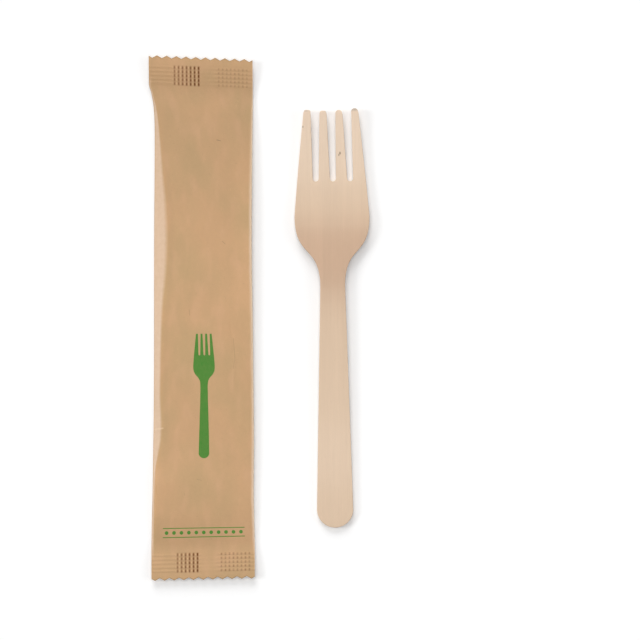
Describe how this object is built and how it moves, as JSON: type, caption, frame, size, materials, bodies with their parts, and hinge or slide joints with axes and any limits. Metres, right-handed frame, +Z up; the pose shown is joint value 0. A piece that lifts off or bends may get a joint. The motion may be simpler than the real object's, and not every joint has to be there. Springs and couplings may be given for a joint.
{
  "type": "wooden cake fork sachet with a loose fork",
  "caption": "Wooden cake fork sealed in a kraft paper sachet with zigzag-cut crimped ends, and a matching four-tine birch fork lying beside it.",
  "frame": {"origin": "under the middle of the box that holds the sachet and the fork, on the table", "axes": "+Z up from the table, +Y along both pieces towards the fork's tines and the sachet's top seal"},
  "size_m": [0.0738, 0.1756, 0.0034],
  "materials": {
    "kraft_paper": "uncoated brown kraft",
    "birch_wood": "bare sanded veneer"
  },
  "bodies": {
    "root": {"sealed_sachet": "kraft_paper", "wooden_fork": "birch_wood"}
  },
  "joints": []
}
